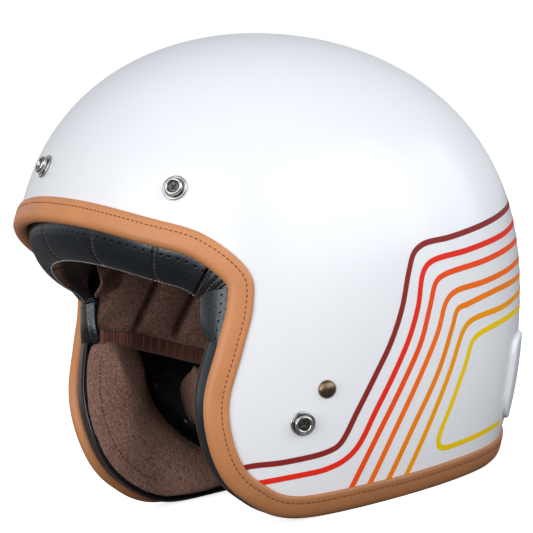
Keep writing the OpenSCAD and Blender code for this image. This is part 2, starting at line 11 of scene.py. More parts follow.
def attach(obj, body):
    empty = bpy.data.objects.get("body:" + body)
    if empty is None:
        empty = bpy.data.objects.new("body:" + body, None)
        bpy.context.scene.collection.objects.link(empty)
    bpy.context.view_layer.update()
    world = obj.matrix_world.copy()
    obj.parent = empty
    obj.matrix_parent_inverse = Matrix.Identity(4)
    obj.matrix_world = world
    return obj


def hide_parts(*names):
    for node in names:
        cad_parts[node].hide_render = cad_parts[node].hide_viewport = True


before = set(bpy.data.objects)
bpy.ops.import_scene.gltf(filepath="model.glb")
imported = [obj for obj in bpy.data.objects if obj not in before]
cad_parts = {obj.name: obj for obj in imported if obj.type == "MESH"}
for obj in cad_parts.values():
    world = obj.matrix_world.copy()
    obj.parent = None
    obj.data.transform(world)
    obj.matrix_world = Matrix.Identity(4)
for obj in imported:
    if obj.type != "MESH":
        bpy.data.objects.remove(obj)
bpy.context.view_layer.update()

# --- helmet form (mm)
# The outer surface is written in the helmet's own frame: origin at the inner centre,
# -Y forwards, +X to the wearer's left. stand() puts it on the ground, in metres.

LEAN = math.radians(13.2)
CENTRE = np.array([0.0, -12.36, 109.73])
HALF_WIDTH = 126.0
FRONT_REACH, REAR_REACH = 132.0, 142.3
LOWER_DEPTH, CROWN_HEIGHT = 178.5, 141.3
PLAN_POWER, LOWER_POWER, UPPER_POWER = 2.1, 2.388, 2.066
SHELL_T = 4.0
TRIM_LEG = 9.0

SEAM_LINE = [
    (0, 20.7), (22, 19), (42, 15), (55, 11.5), (64.8, 4), (66, -4), (63.8, -14),
    (60.7, -26), (62.9, -36), (68.6, -41.4), (80, -44.3), (105, -40.3), (140, -32),
    (180, -25),
]
IMPACT_LINE = [
    (0, 22.4), (22, 20.8), (42, 16.9), (55, 13.6), (67, 6), (76, -4), (90, -9),
    (105, -12), (122, -17), (140, -24), (160, -25), (180, -23),
]
COMFORT_LINE = [
    (0, 25), (20, 23.5), (34, 19.5), (42, 14.5), (47.5, 7), (52, -2), (52.5, -9), (58, -11.5),
    (70, -13.5), (90, -17), (110, -20), (140, -21), (180, -19),
]
LAST_SEAM = len(SEAM_LINE) - 1
LAP = 2 * LAST_SEAM
HEM_DROP = 5.0
IMPACT_BASE = 31.8
COMFORT_TOP = IMPACT_BASE + 0.8
COMFORT_BASE = COMFORT_TOP + 8
CHEEK_TOP, CHEEK_BASE = 12.6, 40.0


def unit(v):
    v = np.asarray(v, float)
    return v / np.linalg.norm(v, axis=-1, keepdims=True)


def direction(az, el):
    az, el = np.radians(az), np.radians(el)
    return np.stack([np.sin(az) * np.cos(el), -np.cos(az) * np.cos(el), np.sin(el)], -1)


def angles(d):
    d = unit(d)
    return np.degrees(np.arctan2(d[..., 0], -d[..., 1])), np.degrees(np.arcsin(d[..., 2]))


def radius(d):
    x, y, z = d[..., 0], d[..., 1], d[..., 2]
    a = HALF_WIDTH * (1 + 0.025 * z + 0.03 * y)
    b = FRONT_REACH + (REAR_REACH - FRONT_REACH) * (1 + y) / 2
    c = LOWER_DEPTH + (CROWN_HEIGHT - LOWER_DEPTH) * (1 + z) / 2
    m = LOWER_POWER + (UPPER_POWER - LOWER_POWER) * (1 + z) / 2
    plan = (np.abs(x / a) ** PLAN_POWER + np.abs(y / b) ** PLAN_POWER) ** (1 / PLAN_POWER)
    return (plan ** m + np.abs(z / c) ** m) ** (-1 / m)


def on_shell(d, depth=0.0):
    d = unit(d)
    return (radius(d) - depth)[..., None] * d


def depth_of(p):
    return radius(unit(p)) - np.linalg.norm(p, axis=-1)


def tangents(n):
    """East and north across a normal."""
    east = unit(np.cross([0, 0, 1], n))
    return east, np.cross(n, east)


def shell_normal(d):
    step = 0.002
    east, north = tangents(d)
    a = on_shell(d + step * east) - on_shell(d - step * east)
    b = on_shell(d + step * north) - on_shell(d - step * north)
    return unit(np.cross(a, b))


def tilted(p, angle):
    """Points turned about the X axis."""
    c, s = math.cos(angle), math.sin(angle)
    x, y, z = p[..., 0], p[..., 1], p[..., 2]
    return np.stack([x, y * c - z * s, y * s + z * c], -1)


def stand(p):
    """From the helmet's own frame in mm to the ground frame in metres."""
    return (tilted(np.asarray(p, float), -LEAN) + CENTRE) / 1000


def lie(p):
    """Back from the ground frame in metres to the helmet's own frame in mm."""
    return tilted(np.asarray(p, float) * 1000 - CENTRE, LEAN)


def turn(v):
    """A direction from the helmet's own frame to the ground frame."""
    return (stand(v) - stand(np.zeros(3))) * 1000


def lap_at(line, u):
    """Azimuth and elevation at parameter u of a line given from front to back on the left,
    smooth and closed round the helmet."""
    knots = np.array(line + [(360 - az, el) for az, el in line[-2:0:-1]], float)
    n = len(knots)
    u = np.atleast_1d(np.asarray(u, float)) % n
    i = np.floor(u).astype(int)
    t = (u - i)[:, None]

    def knot(k):
        p = knots[k % n].copy()
        p[:, 0] += 360.0 * (k // n)
        return p

    p0, p1, p2, p3 = knot(i - 1), knot(i), knot(i + 1), knot(i + 2)
    p = (2 * p1 + (p2 - p0) * t + (2 * p0 - 5 * p1 + 4 * p2 - p3) * t ** 2
         + (3 * p1 - p0 - 3 * p2 + p3) * t ** 3) / 2
    return p[:, 0], p[:, 1]


def seam_frames(u):
    """Place, outward normal and way over the edge at each u along the trim's seam."""
    u = np.atleast_1d(np.asarray(u, float))
    step = 0.01
    here = direction(*lap_at(SEAM_LINE, u))
    ahead, behind = (on_shell(direction(*lap_at(SEAM_LINE, u + k))) for k in (step, -step))
    n = shell_normal(here)
    return on_shell(here), n, unit(np.cross(ahead - behind, n))


def off_seam(u, n, o):
    """Points at n along the normal and o over the edge, one per u."""
    p, normal, over = seam_frames(u)
    return p + np.asarray(n, float)[..., None] * normal + np.asarray(o, float)[..., None] * over


def seam_rings(us, section):
    """Rings (row per u) of a section of (n, o) points; section may be one per u."""
    p, n, o = seam_frames(us)
    s = np.asarray(section, float)
    return p[:, None] + s[..., :1] * n[:, None] + s[..., 1:] * o[:, None]


def between(t, t0, t1, a, b):
    return (t1 - t) / (t1 - t0) * a + (t - t0) / (t1 - t0) * b


def smooth_path(points, per, closed=False):
    """Centripetal curve through given points, per points to a span."""
    q = np.asarray(points, float)
    if closed:
        q = np.vstack([q[-1:], q, q[:2]])
    else:
        q = np.vstack([2 * q[:1] - q[1:2], q, 2 * q[-1:] - q[-2:-1]])
    out = []
    for i in range(1, len(q) - 2):
        p = q[i - 1:i + 3]
        spans = np.linalg.norm(np.diff(p, axis=0), axis=1) ** 0.5 + 1e-9
        knots = np.concatenate([[0], np.cumsum(spans)])
        for t in np.linspace(knots[1], knots[2], per, endpoint=False):
            a = [between(t, *knots[k:k + 2], p[k], p[k + 1]) for k in range(3)]
            b = [between(t, knots[k], knots[k + 2], a[k], a[k + 1]) for k in range(2)]
            out.append(between(t, knots[1], knots[2], *b))
    if not closed:
        out.append(q[-2])
    return np.array(out)


def ease(t):
    t = np.clip(t, 0, 1)
    return t * t * (3 - 2 * t)


def slerp(a, b, s):
    w = np.arccos(np.clip((a * b).sum(-1, keepdims=True), -1, 1))
    return (np.sin((1 - s) * w) * a + np.sin(s * w) * b) / np.sin(w)


def run_along(p):
    """Distance along a path, at each of its points."""
    return np.concatenate([[0], np.cumsum(np.linalg.norm(np.diff(p, axis=0), axis=1))])


def evenly(path, count=None, step=None, closed=False):
    """Points at even distances along a path."""
    p = np.vstack([path, path[:1]]) if closed else path
    run = run_along(p)
    count = count or max(2, int(round(run[-1] / step)) + 1)
    at = np.linspace(0, run[-1], count, endpoint=not closed)
    return np.stack([np.interp(at, run, p[:, k]) for k in range(3)], -1)


# --- mesh makers


def link(name, data):
    obj = bpy.data.objects.new(name, data)
    bpy.context.scene.collection.objects.link(obj)
    return obj


def make_mesh(name, points, faces, uvs=None):
    """A mesh object from points in metres; uvs are one per point."""
    mesh = bpy.data.meshes.new(name)
    mesh.from_pydata([tuple(p) for p in points], [], [tuple(f) for f in faces])
    if uvs is not None:
        layer = mesh.uv_layers.new(name="UVMap")
        corner = np.empty(len(mesh.loops), dtype=np.int64)
        mesh.loops.foreach_get("vertex_index", corner)
        layer.data.foreach_set("uv", np.asarray(uvs, np.float32)[corner].ravel())
    mesh.polygons.foreach_set("use_smooth", [True] * len(mesh.polygons))
    mesh.update()
    return link(name, mesh)


def grid_faces(rows, cols, wrap_rows, wrap_cols, start=0):
    faces = []
    for i in range(rows if wrap_rows else rows - 1):
        for j in range(cols if wrap_cols else cols - 1):
            here, ahead = start + i * cols, start + (i + 1) % rows * cols
            k = (j + 1) % cols
            faces.append((here + j, here + k, ahead + k, ahead + j))
    return faces


def hub_caps(rows, cols):
    """Fans that close both ends of a grid on the two points that follow its last row."""
    hub, last = rows * cols, (rows - 1) * cols
    faces = []
    for j in range(cols):
        k = (j + 1) % cols
        faces += [(hub, k, j), (hub + 1, last + j, last + k)]
    return faces


def outwards(obj):
    """Turns every face of a closed mesh outwards, by the sign of its volume."""
    if sum(f.center.dot(f.normal) * f.area for f in obj.data.polygons) < 0:
        obj.data.flip_normals()
    return obj


def grid_object(name, rings, wrap_rows=False, wrap_cols=True):
    """A mesh from rings of points in the helmet's frame, with UVs in millimetres."""
    rings = np.asarray(rings, float)
    rows, cols = rings.shape[:2]
    points = rings.reshape(-1, 3)
    mid = rings.mean(1)
    run = run_along(mid)
    across = np.linalg.norm(np.diff(rings, axis=1), axis=2).mean(0)
    across = np.concatenate([[0], np.cumsum(across)])
    uv = np.stack(np.meshgrid(run, across, indexing="ij"), -1).reshape(-1, 2)
    faces = grid_faces(rows, cols, wrap_rows, wrap_cols)
    if wrap_cols and not wrap_rows:
        points = np.vstack([points, mid[:1], mid[-1:]])
        uv = np.vstack([uv, uv[:1], uv[-1:]])
        faces += hub_caps(rows, cols)
    obj = make_mesh(name, stand(points), faces, uv)
    return outwards(obj) if wrap_cols else obj


def rounded_ends(rings, bulge):
    """Adds shrinking rings at both ends, so that a sweep ends in a soft dome."""
    rings = np.asarray(rings, float)
    first, last = [], []
    for a in (75, 50, 25):
        k, lift = math.cos(math.radians(a)), bulge * math.sin(math.radians(a))
        for ring, other, out in ((rings[0], rings[1], first), (rings[-1], rings[-2], last)):
            mid = ring.mean(0)
            away = unit(mid - other.mean(0))
            out.append(mid + (ring - mid) * k + away * lift)
    return np.concatenate([np.array(first), rings, np.array(last)[::-1]])


def patch_object(name, pole, outer, inner, rings, outer_depth, inner_depth, relief=None,
                 crown=1.0, lid=1.0, wall=5, swell=0.12):
    """A cap between two sheets: both run from the pole to their rims, and a rounded wall
    joins the rims. relief(depth, d, s) shapes the inner sheet."""
    steps = np.linspace(0, 1, rings + 1)[1:]

    def sheet(rim, middle, power, bump):
        rim_dir, rim_depth = unit(rim), depth_of(rim)
        rows = []
        for s in steps:
            d = slerp(np.broadcast_to(pole, rim_dir.shape), rim_dir, s)
            depth = middle + (rim_depth - middle) * s ** power
            if bump is not None:
                depth = bump(depth, d, s)
            rows.append(on_shell(d, depth))
        return rows

    top = sheet(outer, outer_depth, lid, None)
    base = sheet(inner, inner_depth, crown, relief)
    walls = [top[-1] * (1 - k / wall) + base[-1] * (k / wall) for k in range(1, wall)]
    if wall > 2:
        bulge = swell * np.linalg.norm(top[-1] - base[-1], axis=1, keepdims=True)
        away = unit(top[-1] - top[-2] + base[-1] - base[-2])
        for k, ring in enumerate(walls, 1):
            ring += away * bulge * math.sin(math.pi * k / wall)
    rows = np.array(top + walls + base[::-1])
    n, cols = rows.shape[:2]
    ends = [on_shell(pole, outer_depth), on_shell(pole, inner_depth)]
    points = np.vstack([rows.reshape(-1, 3), ends])
    faces = grid_faces(n, cols, False, True) + hub_caps(n, cols)
    return outwards(make_mesh(name, stand(points), faces))


def circle(side, up, count, first=0.0):
    """Unit directions round a circle in the plane of side and up."""
    w = math.radians(first) + np.linspace(0, 2 * math.pi, count, endpoint=False)
    return np.cos(w)[:, None] * side[..., None, :] + np.sin(w)[:, None] * up[..., None, :]


TUBE_SIDES = 8


def tube(name, path, r):
    """A round tube along a path in the helmet's frame."""
    p = np.asarray(path, float)
    t = np.roll(p, -1, 0) - np.roll(p, 1, 0)
    t[0], t[-1] = p[1] - p[0], p[-1] - p[-2]
    t = unit(t)
    side = unit(np.cross(t, unit(p)))
    return grid_object(name, p[:, None] + r * circle(side, np.cross(side, t), TUBE_SIDES))


BEAD = [(-0.5, 0.25), (-0.36, 0.85), (0.0, 1.0), (0.36, 0.85), (0.5, 0.25)]
BEAD_SIDES = 6


def stitches(name, path, pitch, length, r, closed=False, sink=0.0):
    """A row of thread stitches along a path, as one mesh of small rounded beads."""
    fine = evenly(path, step=pitch / 6, closed=closed)
    count = int(run_along(np.vstack([fine, fine[:1]]) if closed else fine)[-1] / pitch)
    centres = evenly(path, count=count + 1, closed=closed)[: count if closed else count + 1]
    ahead = np.roll(centres, -1, 0)
    if not closed:
        ahead[-1] = 2 * centres[-1] - centres[-2]
    points, faces = [], []
    for c, a in zip(centres, ahead):
        t = unit(a - c)
        up = unit(c - (c @ t) * t)
        around = circle(np.cross(t, up), up, BEAD_SIDES)
        base = len(points)
        for along, k in BEAD:
            points += list(c + t * along * length + around * r * k - up * ((1 - k) * 0.6 * r + sink))
        faces += grid_faces(len(BEAD), BEAD_SIDES, False, True, base)
        faces.append(tuple(base + q for q in range(BEAD_SIDES)))
        faces.append(tuple(base + len(BEAD) * BEAD_SIDES - 1 - q for q in range(BEAD_SIDES)))
    return make_mesh(name, stand(np.array(points)), faces)


def lathe(name, places, profile, segments=64):
    """One mesh of the same turned profile (r, height) at each place (az, el)."""
    points, faces = [], []
    for az, el in places:
        d = direction(az, el)
        n = shell_normal(d)
        around = circle(*tangents(n), segments)
        base = len(points)
        for r, h in profile:
            points += list(on_shell(d) + n * h + around * r)
        faces += grid_faces(len(profile), segments, False, True, base)
        faces.append(tuple(base + k for k in reversed(range(segments))))
        top = base + (len(profile) - 1) * segments
        faces.append(tuple(top + k for k in range(segments)))
    return outwards(make_mesh(name, stand(np.array(points)), faces))


def finish_piece(obj, mat, slot, *nodes, body="helmet", angle=None):
    """Gives a piece its material and body, and hides the CAD nodes that it stands for; the slot is not
    used.
    """
    obj.data.materials.clear()
    obj.data.materials.append(mat)
    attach(obj, body)
    if nodes:
        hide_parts(*nodes)
    if angle:
        split = obj.modifiers.new("split", "EDGE_SPLIT")
        split.split_angle = math.radians(angle)
    return obj


# --- materials


class Nodes:
    """Short names for building the node tree of a material, or of the world."""

    def __init__(self, name, owner=None, shader="Principled BSDF"):
        self.mat = owner or bpy.data.materials.new(name)
        self.mat.use_nodes = True
        self.tree = self.mat.node_tree
        self.shader = self.tree.nodes[shader]
        self.coords = self.tree.nodes.new("ShaderNodeTexCoord")

    def new(self, kind, inputs=None, **settings):
        node = self.tree.nodes.new(kind)
        for key, value in settings.items():
            setattr(node, key, value)
        for key, value in (inputs or {}).items():
            if isinstance(value, bpy.types.NodeSocket):
                self.tree.links.new(value, node.inputs[key])
            else:
                node.inputs[key].default_value = value
        return node

    def set(self, **values):
        for key, value in values.items():
            socket = self.shader.inputs[key.replace("_", " ")]
            if isinstance(value, bpy.types.NodeSocket):
                self.tree.links.new(value, socket)
            else:
                socket.default_value = value

    def noise(self, scale, detail=4.0, rough=0.6, stretch=None):
        place = self.coords.outputs["Object"]
        if stretch:
            place = self.new("ShaderNodeMapping", {"Vector": place, "Scale": stretch}).outputs[0]
        return self.new("ShaderNodeTexNoise", {"Vector": place, "Scale": scale, "Detail": detail,
                                               "Roughness": rough}).outputs["Fac"]

    def cells(self, scale, feature="F1"):
        place = self.coords.outputs["Object"]
        return self.new("ShaderNodeTexVoronoi", {"Vector": place, "Scale": scale},
                        feature=feature).outputs["Distance"]

    def ramp(self, fac, *stops):
        node = self.new("ShaderNodeValToRGB", {"Fac": fac})
        points = node.color_ramp.elements
        while len(points) < len(stops):
            points.new(0.5)
        for element, (at, colour) in zip(points, stops):
            element.position = at
            element.color = (*colour, 1)
        return node.outputs["Color"]

    def math(self, kind, a, b=0.0):
        return self.new("ShaderNodeMath", {0: a, 1: b}, operation=kind).outputs[0]

    def times(self, a, b):
        return self.math("MULTIPLY", a, b)

    def plus(self, a, b):
        return self.math("ADD", a, b)

    def remap(self, value, low, high, to_low, to_high):
        return self.new("ShaderNodeMapRange", {"Value": value, "From Min": low, "From Max": high,
                                               "To Min": to_low, "To Max": to_high}).outputs[0]

    def axes(self, source):
        return self.new("ShaderNodeSeparateXYZ", {"Vector": self.coords.outputs[source]}).outputs

    def finish(self, fac, low, high, rough, height, distance, strength, **more):
        """Colour stops by fac, roughness and bump: what most materials end with."""
        self.set(Base_Color=self.ramp(fac, low, high), Roughness=rough,
                 Normal=self.bump(height, distance, strength), **more)
        return self.mat

    def bump(self, height, distance, strength=1.0, onto=None):
        sockets = {"Height": height, "Distance": distance, "Strength": strength}
        if onto is not None:
            sockets["Normal"] = onto
        return self.new("ShaderNodeBump", sockets).outputs[0]

    def mix(self, fac, a, b):
        node = self.new("ShaderNodeMix", data_type="RGBA")
        for socket, value in ((node.inputs[0], fac), (node.inputs[6], a), (node.inputs[7], b)):
            if isinstance(value, bpy.types.NodeSocket):
                self.tree.links.new(value, socket)
            else:
                socket.default_value = value if not isinstance(value, tuple) else (*value, 1)
        return node.outputs[2]


def srgb(r, g, b):
    return tuple(((v / 255 + 0.055) / 1.055) ** 2.4 if v > 10 else v / 255 / 12.92 for v in (r, g, b))


def shade(colour, k):
    return tuple(v * k for v in colour)


def gloss_paint(name, colour, spread, coat=1.0, shine=0.5):
    m = Nodes(name)
    return m.finish(m.noise(18, 2), (0.3, shade(colour, 1 - spread)), (0.7, colour), 0.45,
                    m.noise(420, 1, 0.4), 0.00002, 0.25, Coat_Weight=coat, Coat_Roughness=0.24,
                    Specular_IOR_Level=shine)


# Height in metres below which the trim's colour carries painted shade.
PAINTED_SHADE_UP_TO = 0.06


def trim_leather(name, colour):
    """Grained leather, with painted shade that darkens it towards the ground at the edge that the helmet
    stands on.
    """
    m = Nodes(name)
    patches, grain, pores = m.noise(45, 3), m.cells(1500), m.noise(2600, 2)
    tone = m.ramp(patches, (0.25, shade(colour, 0.88)), (0.55, colour), (0.8, shade(colour, 1.08)))
    tone = m.mix(m.times(grain, 0.35), tone, shade(colour, 0.72))
    # Painted shade: the colour darkens towards the ground, standing in for shadow on the trim's lower
    # edge.
    painted_shade = m.remap(m.axes("Object")["Z"], 0.0, PAINTED_SHADE_UP_TO, 0.8, 0.0)
    tone = m.mix(painted_shade, tone, shade(colour, 0.4))
    height = m.plus(m.times(grain, 0.7), m.times(pores, 0.5))
    m.set(Base_Color=tone, Roughness=m.remap(patches, 0.0, 1.0, 0.36, 0.5),
          Normal=m.bump(height, 0.00006, 0.5), Specular_IOR_Level=0.45)
    return m.mat


HOLE_PITCH, HOLE_RISE, FIRST_ROW = 4.4, 3.1, 12.2
HOLE_R, FIRST_ROW_EXTRA = 0.29, 0.24


def leatherette(name, dots=True):
    """Black leatherette with a fine grain. Its punched holes stand in rows: a first row of
    larger ones beside the trim, then small ones, with every other row moved half a pitch."""
    m = Nodes(name)
    grain = m.cells(1300, "SMOOTH_F1")
    base = m.ramp(m.noise(60, 3), (0.3, srgb(9, 12, 17)), (0.75, srgb(15, 19, 25)))
    normal = m.bump(m.times(grain, 0.6), 0.00012, 0.6)
    if dots:
        uv = m.axes("UV")
        row = m.math("DIVIDE", m.math("SUBTRACT", uv["Y"], FIRST_ROW), HOLE_RISE)
        number = m.math("FLOOR", row)
        odd = m.times(m.math("MODULO", number, 2.0), 0.5)
        column = m.plus(m.math("DIVIDE", uv["X"], HOLE_PITCH), odd)
        dx = m.times(m.math("SUBTRACT", m.math("FRACT", column), 0.5), HOLE_PITCH)
        dy = m.times(m.math("SUBTRACT", m.math("FRACT", row), 0.5), HOLE_RISE)
        reach = m.math("SQRT", m.plus(m.times(dx, dx), m.times(dy, dy)))
        leading = m.math("LESS_THAN", m.math("ABSOLUTE", number), 0.5)
        edge = m.math("SUBTRACT", reach, m.plus(m.times(leading, FIRST_ROW_EXTRA), HOLE_R))
        inside = m.remap(edge, -0.12, 0.12, 1.0, 0.0)
        base = m.mix(inside, base, (0.0, 0.0, 0.0))
        normal = m.bump(m.remap(edge, -0.2, 0.5, 0.0, 1.0), 0.0002, 0.4, onto=normal)
        m.set(Metallic=inside)
    m.set(Base_Color=base, Roughness=0.3, Normal=normal, Specular_IOR_Level=0.75,
          Specular_Tint=(0.86, 0.95, 1.0, 1))
    return m.mat


def fleece(name, colour):
    """Brushed short-pile fleece: clumps, single fibres and a soft bloom."""
    m = Nodes(name)
    clumps, fibres, stroke = m.noise(520, 4, 0.65), m.noise(1900, 2, 0.8), m.noise(40, 3, 0.6)
    mixed = m.plus(m.times(clumps, 0.3), m.times(fibres, 0.7))
    tone = m.ramp(mixed, (0.39, shade(colour, 0.3)), (0.5, colour), (0.6, shade(colour, 2.2)))
    tone = m.mix(m.times(stroke, 0.5), tone, shade(colour, 0.72))
    m.set(Base_Color=tone, Roughness=0.95, Normal=m.bump(mixed, 0.0014, 0.9), Sheen_Weight=0.2,
          Sheen_Roughness=0.5, Sheen_Tint=(0.8, 0.64, 0.52, 1), Specular_IOR_Level=0.08)
    return m.mat


def satin(name, colour):
    m = Nodes(name)
    folds = m.noise(900, 3, 0.6, stretch=(1.0, 1.0, 0.16))
    return m.finish(folds, (0.3, shade(colour, 0.7)), (0.7, shade(colour, 1.2)), 0.72,
                    folds, 0.0004, 0.5, Sheen_Weight=0.2, Specular_IOR_Level=0.2)


def metal(name, colour, rough):
    m = Nodes(name)
    marks = m.noise(900, 3, 0.6, stretch=(1.0, 1.0, 0.2))
    haze = m.remap(marks, 0.0, 1.0, rough * 0.7, rough * 1.5)
    return m.finish(marks, (0.2, shade(colour, 0.82)), (0.7, colour), haze, marks, 0.00002, 0.5,
                    Metallic=1.0)


def thread(name, colour):
    m = Nodes(name)
    ply = m.noise(3200, 2)
    return m.finish(ply, (0.35, shade(colour, 0.6)), (0.65, colour), 0.7, ply, 0.0001, 0.6)


def plastic(name, colour, rough=0.5):
    m = Nodes(name)
    return m.finish(m.noise(50, 3), (0.3, shade(colour, 0.85)), (0.7, colour), rough,
                    m.cells(1600), 0.00008, 0.4)


def foam_beads(name):
    m = Nodes(name)
    beads = m.cells(330)
    return m.finish(beads, (0.1, srgb(40, 41, 43)), (0.6, srgb(22, 22, 24)), 0.75,
                    beads, -0.0004, 0.7)


def webbing(name, colour):
    m = Nodes(name)
    uv = m.axes("UV")
    along = m.math("SINE", m.times(uv["X"], 2 * math.pi / 1.3))
    across = m.math("SINE", m.times(uv["Y"], 2 * math.pi / 1.1))
    weave = m.plus(m.times(along, across), m.times(m.noise(1800), 0.6))
    return m.finish(weave, (0.2, shade(colour, 0.5)), (0.9, shade(colour, 1.6)), 0.8,
                    weave, 0.00025, 0.7, Sheen_Weight=0.2)


BLACK = "leatherette_black"
SHELL_WHITE = gloss_paint("shell_white", srgb(245, 246, 249), 0.015)
SHELL_INNER = plastic("shell_inner", srgb(20, 20, 21), 0.8)
TRIM = trim_leather("trim_caramel", srgb(215, 143, 91))
LEATHERETTE = leatherette("leatherette_punched")
PLAIN_BLACK = leatherette("leatherette_plain", dots=False)
FLEECE = fleece("fleece_brown", srgb(150, 114, 101))
HEM = satin("hem_satin", srgb(116, 74, 62))
NICKEL = metal("nickel", (0.56, 0.55, 0.53), 0.12)
DARK_NICKEL = metal("dark_nickel", (0.12, 0.12, 0.12), 0.3)
BRONZE = metal("bronze", srgb(126, 108, 86), 0.3)
STEEL = metal("steel", (0.62, 0.62, 0.63), 0.28)
BROWN_THREAD = thread("brown_thread", srgb(112, 69, 44))
TAN_THREAD = thread("tan_thread", srgb(160, 118, 82))
DARK_THREAD = thread("dark_thread", srgb(52, 38, 33))
PALE_THREAD = thread("pale_thread", srgb(205, 203, 198))
BLACK_PLASTIC = plastic("black_plastic", srgb(30, 30, 31))
LEVER_RED = plastic("lever_red", srgb(168, 34, 26), 0.35)
FOAM = foam_beads("foam_beads")
PIPING = thread("piping_brown", srgb(84, 62, 48))
WEBBING = webbing("webbing_black", srgb(20, 20, 22))

# --- camera and stage

CAMERA_PLACE = (1541.4, -649.3, -47.9)
CAMERA_BACK = (0.9199, -0.3903, -0.0382)
CAMERA_AZ = 67.007
CAMERA_ROLL = 0.975
FOCAL_MM = 209.4
SENSOR_MM = 36.0


def add_camera():
    back = unit(CAMERA_BACK)
    az = math.radians(CAMERA_AZ)
    right = np.array([math.cos(az), math.sin(az), 0.0])
    up = np.cross(back, right)
    c, s = math.cos(math.radians(CAMERA_ROLL)), math.sin(math.radians(CAMERA_ROLL))
    axes = [turn(c * right + s * up), turn(c * up - s * right), turn(back)]
    data = bpy.data.cameras.new("camera")
    data.lens, data.sensor_width, data.sensor_fit = FOCAL_MM, SENSOR_MM, "HORIZONTAL"
    data.clip_end = 50
    cam = link("camera", data)
    rotation = Matrix([list(a) for a in axes]).transposed().to_4x4()
    cam.matrix_world = Matrix.Translation(Vector(stand(np.array(CAMERA_PLACE)))) @ rotation
    bpy.context.scene.camera = cam


def area_light(name, place, aim, size, watts, colour=(1, 1, 1)):
    data = bpy.data.lights.new(name, "AREA")
    data.shape = "RECTANGLE"
    data.size, data.size_y = size
    data.energy, data.color = watts, colour
    light = link(name, data)
    facing = (Vector(aim) - Vector(place)).to_track_quat("-Z", "Y").to_matrix().to_4x4()
    light.matrix_world = Matrix.Translation(Vector(place)) @ facing


def seen_or_lit(nodes, seen, lit, socket):
    """Mixes what the camera sees with what lights the helmet, into a socket of the shader."""
    camera_ray = nodes.new("ShaderNodeLightPath").outputs["Is Camera Ray"]
    lit = lit if isinstance(lit, bpy.types.NodeSocket) else (lit,) * 3
    nodes.tree.links.new(nodes.mix(camera_ray, lit, (seen,) * 3), nodes.shader.inputs[socket])


def add_stage():
    half = 30.0
    corners = [(-half, -half, 0), (half, -half, 0), (half, half, 0), (-half, half, 0)]
    floor = make_mesh("floor", corners, [(0, 1, 2, 3)])
    m = Nodes("floor_white")
    m.set(Roughness=0.9, Specular_IOR_Level=0.0, Emission_Strength=1.0)
    seen_or_lit(m, 0.9, 0.2, "Base Color")
    seen_or_lit(m, 0.78, 0.0, "Emission Color")
    floor.data.materials.append(m.mat)

    world = bpy.data.worlds.new("world")
    bpy.context.scene.world = world
    sky = Nodes("world", world, "Background")
    height = sky.remap(sky.axes("Generated")["Z"], -1, 1, 0, 1)
    tones = sky.ramp(height, (0.0, (0.06, 0.06, 0.065)), (0.5, (0.54, 0.55, 0.57)),
                     (0.7, (0.5, 0.52, 0.55)), (1.0, (0.24, 0.26, 0.3)))
    seen_or_lit(sky, 1.0, tones, "Color")

    area_light("key", (1.9, -2.9, 1.7), (0, 0, 0.12), (4.4, 3.4), 76, (1.0, 0.99, 0.98))
    area_light("side", (3.4, 1.5, 1.5), (0, 0, 0.12), (4.4, 3.0), 76, (0.95, 0.98, 1.0))
    area_light("rear", (1.4, 3.4, 1.0), (0, 0, 0.1), (3.2, 2.0), 28, (0.95, 0.98, 1.0))
    area_light("low_front", (0.7, -1.7, 0.22), (0, 0, 0.14), (0.9, 0.4), 5)
    bpy.context.scene.view_settings.view_transform = "Standard"
    bpy.context.scene.view_settings.look = "None"


# --- shell

CROWN_POLE = direction(180, 50)
BROW_SNAP_CENTRE = (0, 27.9)
BROW_SNAP_SIDE = (47.3, 21.8)
SIDE_SNAP = (78.7, -29.5)
STRAP_RIVET = (84.2, -22.2)


def both_sides(*places):
    return [(s * az, el) for az, el in places for s in (1, -1)]


SNAPS = [BROW_SNAP_CENTRE] + both_sides(BROW_SNAP_SIDE, SIDE_SNAP)
RIVETS = both_sides(STRAP_RIVET)


def add_shell():
    us = np.arange(0, LAP, 1 / 12)
    outer = on_shell(off_seam(us, 0, TRIM_LEG))
    inner = off_seam(us, -SHELL_T, TRIM_LEG - 0.3)
    shell = patch_object("shell_skin", CROWN_POLE, outer, inner, 44, 0, SHELL_T, wall=2)
    finish_piece(shell, SHELL_WHITE, "shell_gloss", "outer_shell", angle=50)
    shell.data.materials.append(SHELL_INNER)
    centre = stand(np.zeros(3))
    for face in shell.data.polygons:
        if np.dot(face.normal, np.array(face.center) - centre) < 0:
            face.material_index = 1


PANEL_WIDTH, PANEL_T, PANEL_POWER, PANEL_POINTS = 34.0, 2.1, 0.45, 240
PANEL_MIDDLE, PANEL_RISE, PANEL_FALL, PANEL_CORNER = -15.0, 9.0, 8.0, 5.5


def panel_rim(shrink):
    q = np.radians(np.linspace(0, 360, PANEL_POINTS, endpoint=False))
    side = np.sign(np.cos(q)) * np.abs(np.cos(q)) ** PANEL_POWER
    up = np.sign(np.sin(q)) * np.abs(np.sin(q)) ** PANEL_POWER
    low = PANEL_FALL + PANEL_CORNER * side ** 2
    el = np.where(up > 0, PANEL_RISE * up, low * up)
    return direction(180 + PANEL_WIDTH * shrink * side, PANEL_MIDDLE + el * (1 - (1 - shrink) * 2.4))


